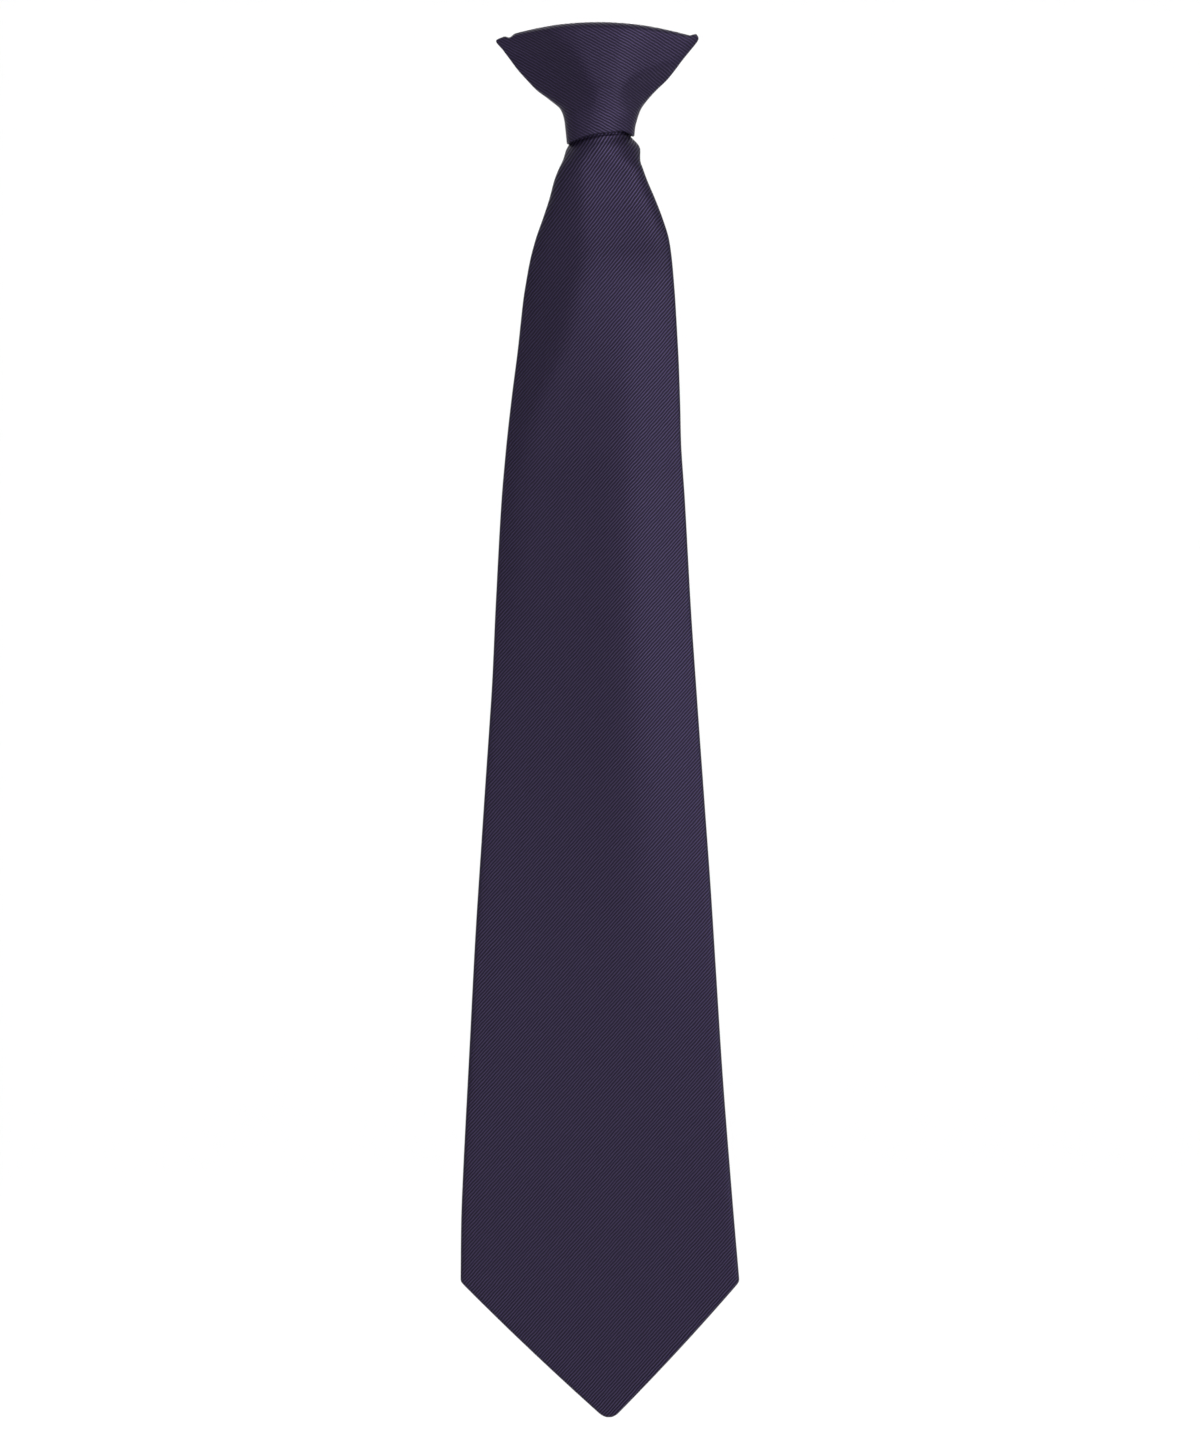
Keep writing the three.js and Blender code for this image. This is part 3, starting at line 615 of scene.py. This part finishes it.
def across_cloth(flap, half, front_x):
    """How far across the cloth each point of a ring lies: on the front a mix of its place along the
    middle line and the place where it is seen, and from there on the length round each side fold and
    along each flap. The rolled edges keep their flap's last place."""
    front = lerp(np.linspace(-1, 1, FRONT_STEPS) * half, front_x, SEEN_SHARE)
    left_end, right_end = front[:, :1], front[:, -1:]
    arc = np.pi * LAYERS / (FOLD_STEPS + 1)
    flap_line = np.linspace(1, 0, FLAP_STEPS)
    face = np.concatenate([
        left_end - np.pi * LAYERS - flap * flap_line * half,
        left_end - arc * np.arange(FOLD_STEPS, 0, -1),
        front,
        right_end + arc * np.arange(1, FOLD_STEPS + 1),
        right_end + np.pi * LAYERS + flap * flap_line[::-1] * half,
    ], axis=1)
    edge = np.ones(EDGE_STEPS)
    return np.concatenate([face, face[:, -1:] * edge, face[:, ::-1], face[:, :1] * edge], axis=1)


def cloth_ends(rows, columns):
    """The faces that close the first and the last ring: strips between the outer and the inner face,
    and one face inside each rolled edge."""
    strip = np.arange(FACE_STEPS - 1)
    facing = 2 * FACE_STEPS + EDGE_STEPS - 1 - strip
    top = np.stack([strip, strip + 1, facing - 1, facing], axis=-1)
    to_last = (rows - 1) * columns
    ends = [*top, *(top[:, ::-1] + to_last)]
    right_edge = (FACE_STEPS - 1, FACE_STEPS + EDGE_STEPS)
    left_edge = (2 * FACE_STEPS + EDGE_STEPS - 1, columns)
    for first, last in (right_edge, left_edge):
        ring = np.arange(first, last + 1) % columns
        ends.append(ring)
        ends.append(ring[::-1] + to_last)
    return ends


def blade_cloth():
    """The blade: one C-shaped cloth, folded back at both sides. A ring runs over its outer face from
    the left flap's edge to the right one's, round that edge, back over its inner face, and round the
    left edge. Each point lies beside the middle line, and its height is the mouth's less the drop."""
    drops, shrink = blade_drops()
    lines = middle_lines(blade_rows(drops))
    half = np.linalg.norm(np.diff(lines, axis=1), axis=-1).sum(axis=1) / 2
    edge = CLOTH / 2
    to_seam = half - SEAM_GAP / 2 - edge
    to_hem = HEM + np.maximum(0, BODY_LENGTH - drops) - edge
    flap = np.clip(np.minimum(to_seam, to_hem) / half, LEAST_FLAP, 1)[:, None]
    inner = cloth_face(flap, LAYER_GAP / 2 * shrink)
    sections = [
        cloth_face(flap, LAYERS * shrink),
        flap_edge(flap, 1, shrink),
        tuple(part[:, ::-1] for part in inner),
        flap_edge(flap, -1, shrink),
    ]
    shares, back, along = (np.concatenate([part[i] for part in sections], axis=1) for i in range(3))
    plan = beside(lines, shares, back, along)
    z = (MOUTH - drops)[:, None] * np.ones(shares.shape[1])
    plan[..., 1] += tuck(plan, z)
    points = np.concatenate([plan, z[..., None]], axis=-1)

    front_start = FLAP_STEPS + FOLD_STEPS
    front_x = plan[:, front_start:front_start + FRONT_STEPS, 0]
    pulled = NECK_STRETCH * STRETCH_LENGTH * (1 - np.exp(-drops / STRETCH_LENGTH))
    up_cloth = z + pulled[:, None]
    front_weave = cloth_angle(across_cloth(flap, half[:, None], front_x), up_cloth, BLADE_RIB_ANGLE)
    flap_weave = cloth_angle(-plan[..., 0], up_cloth, BLADE_RIB_ANGLE)
    rows, columns = shares.shape
    sides = tube_faces(rows, columns)
    ends = cloth_ends(rows, columns)
    column = np.repeat(np.arange(len(sides)) % columns, sides.shape[1])[:, None]
    on_flap = (column < FLAP_STEPS) | ((column >= FACE_STEPS - FLAP_STEPS) & (column < FACE_STEPS))
    side_weave = np.where(on_flap, at_corners(flap_weave, sides), at_corners(front_weave, sides))
    weave = np.concatenate([side_weave, at_corners(front_weave, ends)])
    return mesh_object("blade_cloth", points, [*sides, *ends], weave)


def bar_tack():
    """A bar of close stitches that holds the two flaps together above the opening: an elliptic
    section along the bar, pinched at the ends by the root of 1 less a power of the place, and rippled
    by a cosine, once for each stitch."""
    drop = BODY_LENGTH - TACK_ABOVE
    lines = middle_lines(blade_rows(np.array([drop])))
    middle = np.zeros((1, 1))
    seam = beside(lines, middle, middle + LAYERS + TACK_THICKNESS / 2, middle)[0, 0]
    along = np.linspace(-1, 1, TACK_ROWS)[:, None]
    angle = 2 * np.pi * np.arange(TACK_STEPS)[None, :] / TACK_STEPS
    ripple = 1 + TACK_RIPPLE * np.cos(np.pi * TACK_STITCHES * along)
    pinch = np.sqrt(1 + TACK_END - along**TACK_BLUNTNESS) * ripple
    x = seam[0] + TACK_WIDTH / 2 * along + 0 * angle
    y = seam[1] + TACK_THICKNESS / 2 * pinch * np.sin(angle)
    z = MOUTH - drop + TACK_HEIGHT / 2 * pinch * np.cos(angle)
    points = np.stack([x, y, z], axis=-1)
    faces = [
        *tube_faces(TACK_ROWS, TACK_STEPS),
        *ring_lid(0, TACK_STEPS, upward=True),
        *ring_lid((TACK_ROWS - 1) * TACK_STEPS, TACK_STEPS, upward=False),
    ]
    return mesh_object("bar_tack", points, faces, at_corners(points[..., ::2], faces))


class Wire:
    """An output socket that holds a number. Python's operators on it add Math nodes."""

    def __init__(self, finish, socket):
        self.finish = finish
        self.socket = socket

    def math(self, operation, *values):
        return self.finish.node("ShaderNodeMath", {"operation": operation}, values)

    def __add__(self, other):
        return self.math("ADD", self, other)

    def __radd__(self, other):
        return self.math("ADD", other, self)

    def __sub__(self, other):
        return self.math("SUBTRACT", self, other)

    def __rsub__(self, other):
        return self.math("SUBTRACT", other, self)

    def __mul__(self, other):
        return self.math("MULTIPLY", self, other)

    def __rmul__(self, other):
        return self.math("MULTIPLY", other, self)

    def __pow__(self, other):
        return self.math("POWER", self, other)

    def __rpow__(self, other):
        return self.math("POWER", other, self)

    def wave(self):
        """The cosine, raised and halved so that it runs from 0 to 1."""
        return self.math("COSINE", self) * 0.5 + 0.5


class Finish:
    """A material's node tree, to which every node is added by one method."""

    def __init__(self, name):
        self.material = bpy.data.materials.new(name)
        self.material.use_nodes = True
        self.tree = self.material.node_tree
        self.tree.nodes.clear()

    def node(self, kind, settings=(), inputs=(), output=0):
        """Adds a node, makes its settings, then sets or links its inputs. Inputs and the output that
        comes back go by number or by name."""
        node = self.tree.nodes.new(kind)
        for key, value in dict(settings).items():
            setattr(node, key, value)
        pairs = inputs.items() if isinstance(inputs, dict) else enumerate(inputs)
        for key, value in pairs:
            if isinstance(value, Wire):
                self.tree.links.new(value.socket, node.inputs[key])
            else:
                node.inputs[key].default_value = value
        return Wire(self, node.outputs[output]) if node.outputs else None

    def noise(self, place, scale, detail, dimensions):
        """A cloudy pattern, between 0 and 1 and mostly near the middle."""
        inputs = {"Vector": place, "Scale": scale, "Detail": detail}
        return self.node("ShaderNodeTexNoise", {"noise_dimensions": dimensions}, inputs)

    def blend(self, share, low, high):
        """A colour that is this share of the way from one colour to another. Of the Mix node's
        sockets, inputs 6 and 7 and output 2 are the ones for colours."""
        inputs = {"Factor": share, 6: low, 7: high}
        return self.node("ShaderNodeMix", {"data_type": "RGBA"}, inputs, output=2)

    def surface(self, **values):
        """The Principled shader and the output. A name's underscores stand for spaces."""
        named = {key.replace("_", " "): value for key, value in values.items()}
        shader = self.node("ShaderNodeBsdfPrincipled", inputs=named)
        self.node("ShaderNodeOutputMaterial", inputs={"Surface": shader})
        return self.material


def twill(name, pitch, groove, thread):
    """Diagonal twill: ribs as a wave across the weave's first direction, broken into short slanted
    stitches by a wave along the second, with threads that are a little uneven in colour, height and
    gloss. A power of the rib's wave mixes the groove's colour, its own dark tone with painted shade,
    with the thread's, its own tone with a painted highlight along the crest."""
    f = Finish(name)
    weave = f.node("ShaderNodeUVMap", {"uv_map": "weave"})
    across = f.node("ShaderNodeSeparateXYZ", inputs=[weave], output="X")
    along = f.node("ShaderNodeSeparateXYZ", inputs=[weave], output="Y")
    wander = f.noise(weave, WANDER_SCALE, detail=2.0, dimensions="2D")
    phase = (across + (wander - 0.5) * WANDER) * (2 * math.pi / pitch)
    rib = phase.wave()
    stitch = (along * (2 * math.pi / (STITCH_PITCH * pitch)) + phase * STITCH_SLANT).wave()
    slubs = f.noise(weave, SLUB_SCALE, detail=3.0, dimensions="2D")
    stitched = 1 - STITCH_SHARE + stitch * STITCH_SHARE
    uneven = 1 - SLUB_LIGHT / 2 + slubs * SLUB_LIGHT
    # lit mixes the groove's colour with the thread's: partly the weave's own two tones, partly a painted
    # highlight along each rib's crest and painted shade in the groove
    lit = rib ** RIB_SHARPNESS * stitched * uneven
    height = rib * (1 - STITCH_SHARE) + stitch * rib * STITCH_SHARE + slubs * SLUB_HEIGHT
    bump = f.node("ShaderNodeBump", inputs={"Strength": 1.0, "Distance": RIB_HEIGHT, "Height": height})
    return f.surface(
        Base_Color=f.blend(lit, groove, thread),
        Metallic=lit * THREAD_SATIN + GROOVE_SATIN,
        Roughness=CLOTH_ROUGHNESS - rib * RIB_POLISH,
        Normal=bump,
        Specular_IOR_Level=CLOTH_SPECULAR,
    )


def satin_steel():
    """Rolled spring steel: fine lines along the strip, and a soft cloudy stain."""
    f = Finish("satin_steel")
    place = f.node("ShaderNodeTexCoord", output="Object")
    stretched = f.node("ShaderNodeMapping", inputs={"Vector": place, "Scale": LINE_SCALE})
    lines = f.noise(stretched, 1.0, detail=4.0, dimensions="3D")
    stain = f.noise(place, STAIN_SCALE, detail=3.0, dimensions="3D")
    relief = {"Strength": LINE_STRENGTH, "Distance": LINE_HEIGHT, "Height": lines}
    return f.surface(
        Base_Color=f.blend(stain, STEEL_DARK, STEEL_LIGHT),
        Metallic=1.0,
        Roughness=STEEL_ROUGHNESS + lines * LINE_ROUGHNESS,
        Normal=f.node("ShaderNodeBump", inputs=relief),
    )


def plain(name, colour, roughness):
    """A finish of one colour and one roughness."""
    return Finish(name).surface(Base_Color=colour, Roughness=roughness)


def flat_area(top, bottom):
    """Square metres of the blade's cloth laid flat, from one drop to another: the mean width of the
    front, both side folds and both flaps, times the length."""
    drops = np.linspace(top, bottom, AREA_ROWS)
    width = flat_width(drops)
    reach = np.minimum(width / 2, HEM + np.maximum(0, BODY_LENGTH - drops))
    return float(np.mean(width + 2 * reach) * (bottom - top)) * MM * MM


def studio_floor():
    """A profile turned round the upright axis: level to STAGE_FLAT, then a quarter of an ellipse."""
    rise = 0.5 * np.pi * np.linspace(0, 1, STAGE_ROWS)
    radius = np.concatenate([[FLOOR_START], STAGE_FLAT + (STAGE_REACH - STAGE_FLAT) * np.sin(rise)])
    height = np.concatenate([[0.0], STAGE_WALL * (1 - np.cos(rise))])
    turn = 2 * np.pi * np.arange(STAGE_STEPS) / STAGE_STEPS
    x, y = radius[:, None] * np.cos(turn), radius[:, None] * np.sin(turn)
    z = FLOOR + height[:, None] * np.ones(STAGE_STEPS)
    points = np.stack([x, y, z], axis=-1) / MM
    faces = tube_faces(len(radius), STAGE_STEPS)[:, ::-1]
    return mesh_object("studio_floor", points, faces, at_corners(points[..., :2], faces))


def soft_light(name, place, size, power):
    """A round lamp at a place in metres, turned so that it points at MIDDLE."""
    light = bpy.data.lights.new(name, "AREA")
    light.shape = "DISK"
    light.size = size
    light.energy = power
    lamp = bpy.data.objects.new(name, light)
    lamp.location = place
    lamp.rotation_euler = Vector(np.subtract(MIDDLE, place)).to_track_quat("-Z", "Y").to_euler()
    bpy.context.scene.collection.objects.link(lamp)


blade = blade_cloth()
blade.data.materials.append(twill("blade_twill", RIB_PITCH, GROOVE_TONE_AND_SHADE, THREAD_TONE_AND_HIGHLIGHT))
knot = knot_cloth()
knot.data.materials.append(twill("knot_twill", KNOT_RIB_PITCH, KNOT_GROOVE_TONE_AND_SHADE, KNOT_THREAD_TONE_AND_HIGHLIGHT))
for piece, node in ((blade, "blade"), (knot, "knot_wrap")):
    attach(piece, "root")
    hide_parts(node)

tack = bar_tack()
tack.data.materials.append(plain("thread", STITCHING, STITCHING_ROUGHNESS))
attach(tack, "root")

steel = satin_steel()
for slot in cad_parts["clip"].material_slots:
    slot.material = steel

flat_area(-NECK_LENGTH, BODY_LENGTH + POINT_LENGTH)

floor = studio_floor()
floor.data.materials.append(plain("pale_floor", FLOOR_COLOUR, FLOOR_ROUGHNESS))

soft_light("key_light", place=(0.93, -1.95, 0.32), size=0.9, power=55)
soft_light("back_light", place=(0.0, 2.2, 0.4), size=0.6, power=14)

world = bpy.data.worlds.new("studio_air")
world.use_nodes = True
air = world.node_tree.nodes["Background"].inputs
air["Color"].default_value = AIR_COLOUR
air["Strength"].default_value = AIR_STRENGTH
bpy.context.scene.world = world
bpy.context.scene.view_settings.view_transform = "Standard"

camera_data = bpy.data.cameras.new("camera")
camera_data.lens = LENS
camera_data.sensor_width = SENSOR
camera = bpy.data.objects.new("camera", camera_data)
camera.location = (0, MIDDLE[1] - VIEW_HEIGHT * LENS / SENSOR, VIEW_CENTRE)
camera.rotation_euler = (math.pi / 2, 0, 0)
bpy.context.scene.collection.objects.link(camera)
bpy.context.scene.camera = camera
